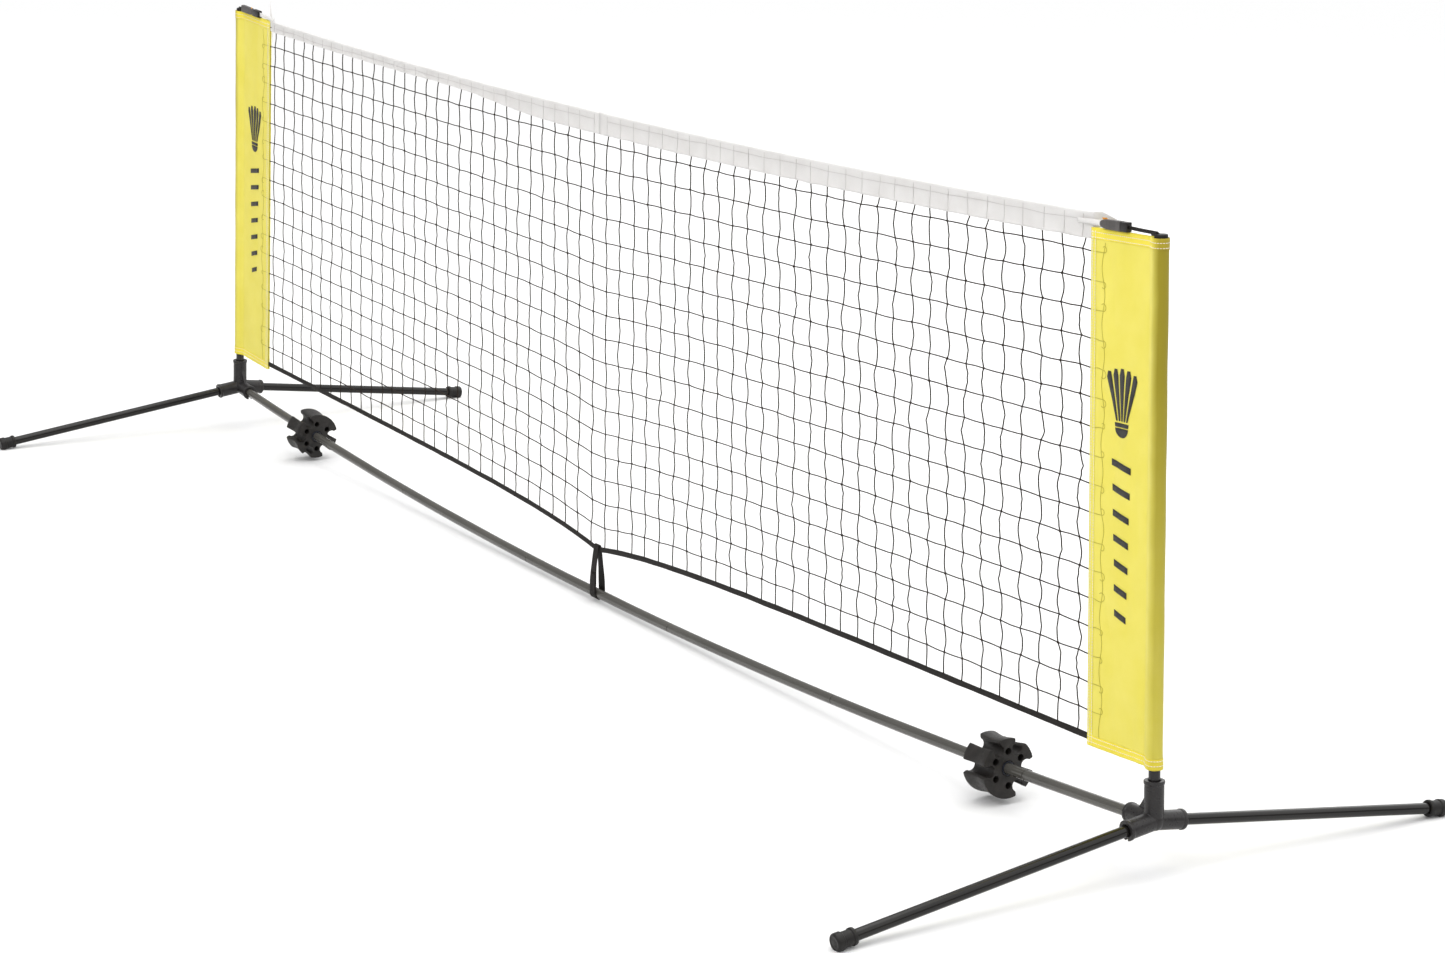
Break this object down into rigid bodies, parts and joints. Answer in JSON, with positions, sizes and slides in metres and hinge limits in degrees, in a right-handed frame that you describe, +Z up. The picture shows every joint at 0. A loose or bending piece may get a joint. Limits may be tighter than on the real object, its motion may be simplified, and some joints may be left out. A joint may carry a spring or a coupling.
{
  "type": "portable badminton net",
  "caption": "Free-standing low badminton net on a push-together tube frame with yellow cloth post sleeves and notched storage hubs on the crossbar.",
  "frame": {"origin": "on the ground, under the middle of the net", "axes": "+X along the net towards the right post, +Y across the net towards the back legs, +Z up"},
  "size_m": [3.0464, 1.0326, 0.8698],
  "materials": {
    "crossbar": "grey powder coat, glossy",
    "leg": "black powder coat, glossy",
    "post": "dark coated tube, mostly hidden in the sleeve",
    "spigot": "black plastic",
    "connector": "moulded dark grey nylon, satin",
    "foot": "moulded black rubber",
    "cap": "black plastic",
    "hub": "moulded black plastic, fine grain",
    "sleeve": "yellow polyester cloth",
    "band": "white vinyl-faced tape",
    "net": "dark knotted twine",
    "webbing": "black woven tape",
    "clip": "grey plastic",
    "elastic": "covered elastic cord"
  },
  "bodies": {
    "frame": {"crossbar_section_1": "crossbar", "crossbar_section_2": "crossbar", "crossbar_section_3": "crossbar", "crossbar_section_4": "crossbar", "crossbar_section_5": "crossbar", "crossbar_section_6": "crossbar", "crossbar_section_7": "crossbar", "crossbar_spigot_1": "spigot", "crossbar_spigot_2": "spigot", "crossbar_spigot_3": "spigot", "crossbar_spigot_4": "spigot", "crossbar_spigot_5": "spigot", "crossbar_spigot_6": "spigot", "crossbar_shock_cord": "elastic", "left_connector": "connector", "right_connector": "connector", "centre_strap": "webbing", "net_panel": "net", "headband_tape": "band", "headline_cord": "elastic", "bottom_tape": "webbing"},
    "right_post": {"right_post_lower": "post", "right_post_upper": "post", "right_post_spigot": "spigot", "right_post_cap": "cap", "right_sleeve": "sleeve", "right_clip_strap": "webbing", "right_clip_tongue": "cap"},
    "right_clip": {"right_clip_body": "clip", "right_headline_tail": "webbing"},
    "right_front_leg": {"right_front_leg": "leg", "right_front_foot_cap": "foot"},
    "right_back_leg": {"right_back_leg": "leg", "right_back_foot_cap": "foot"},
    "right_bush": {"right_hub_bush": "spigot"},
    "right_hub": {"right_storage_hub": "hub"},
    "left_post": {"left_post_lower": "post", "left_post_upper": "post", "left_post_spigot": "spigot", "left_post_cap": "cap", "left_sleeve": "sleeve", "left_clip_strap": "webbing", "left_clip_body": "clip"},
    "left_clip": {"left_clip_tongue": "cap", "left_headline_tail": "webbing"},
    "left_front_leg": {"left_front_leg": "leg", "left_front_foot_cap": "foot"},
    "left_back_leg": {"left_back_leg": "leg", "left_back_foot_cap": "foot"},
    "left_bush": {"left_hub_bush": "spigot"},
    "left_hub": {"left_storage_hub": "hub"}
  },
  "joints": [
    {"name": "right_post_lift", "type": "slide", "parent": "frame", "child": "right_post", "axis": [-0.0553, 0, 0.9985], "range_m": [0, 0.044]},
    {"name": "right_clip_release", "type": "slide", "parent": "right_post", "child": "right_clip", "axis": [-0.9985, 0, -0.0553], "range_m": [0, 0.016]},
    {"name": "right_front_leg_pull", "type": "slide", "parent": "frame", "child": "right_front_leg", "axis": [0.0208, -0.991, -0.1321], "range_m": [0, 0.036]},
    {"name": "right_back_leg_pull", "type": "slide", "parent": "frame", "child": "right_back_leg", "axis": [0.0208, 0.991, -0.1321], "range_m": [0, 0.036]},
    {"name": "right_hub_slide", "type": "slide", "parent": "frame", "child": "right_bush", "axis": [0.9978, 0, 0.0668], "range_m": [-0.12, 0.12]},
    {"name": "right_hub_turn", "type": "hinge", "parent": "right_bush", "child": "right_hub", "pos_m": [1.151, 0, 0.05161], "axis": [0.9978, 0, 0.0668], "continuous": true},
    {"name": "left_post_lift", "type": "slide", "parent": "frame", "child": "left_post", "axis": [0.0553, 0, 0.9985], "range_m": [0, 0.044]},
    {"name": "left_clip_release", "type": "slide", "parent": "left_post", "child": "left_clip", "axis": [0.9985, 0, -0.0553], "range_m": [0, 0.016]},
    {"name": "left_front_leg_pull", "type": "slide", "parent": "frame", "child": "left_front_leg", "axis": [-0.0208, -0.991, -0.1321], "range_m": [0, 0.036]},
    {"name": "left_back_leg_pull", "type": "slide", "parent": "frame", "child": "left_back_leg", "axis": [-0.0208, 0.991, -0.1321], "range_m": [0, 0.036]},
    {"name": "left_hub_slide", "type": "slide", "parent": "frame", "child": "left_bush", "axis": [0.9978, 0, -0.0668], "range_m": [-0.12, 0.12]},
    {"name": "left_hub_turn", "type": "hinge", "parent": "left_bush", "child": "left_hub", "pos_m": [-1.151, 0, 0.05161], "axis": [0.9978, 0, -0.0668], "continuous": true}
  ]
}
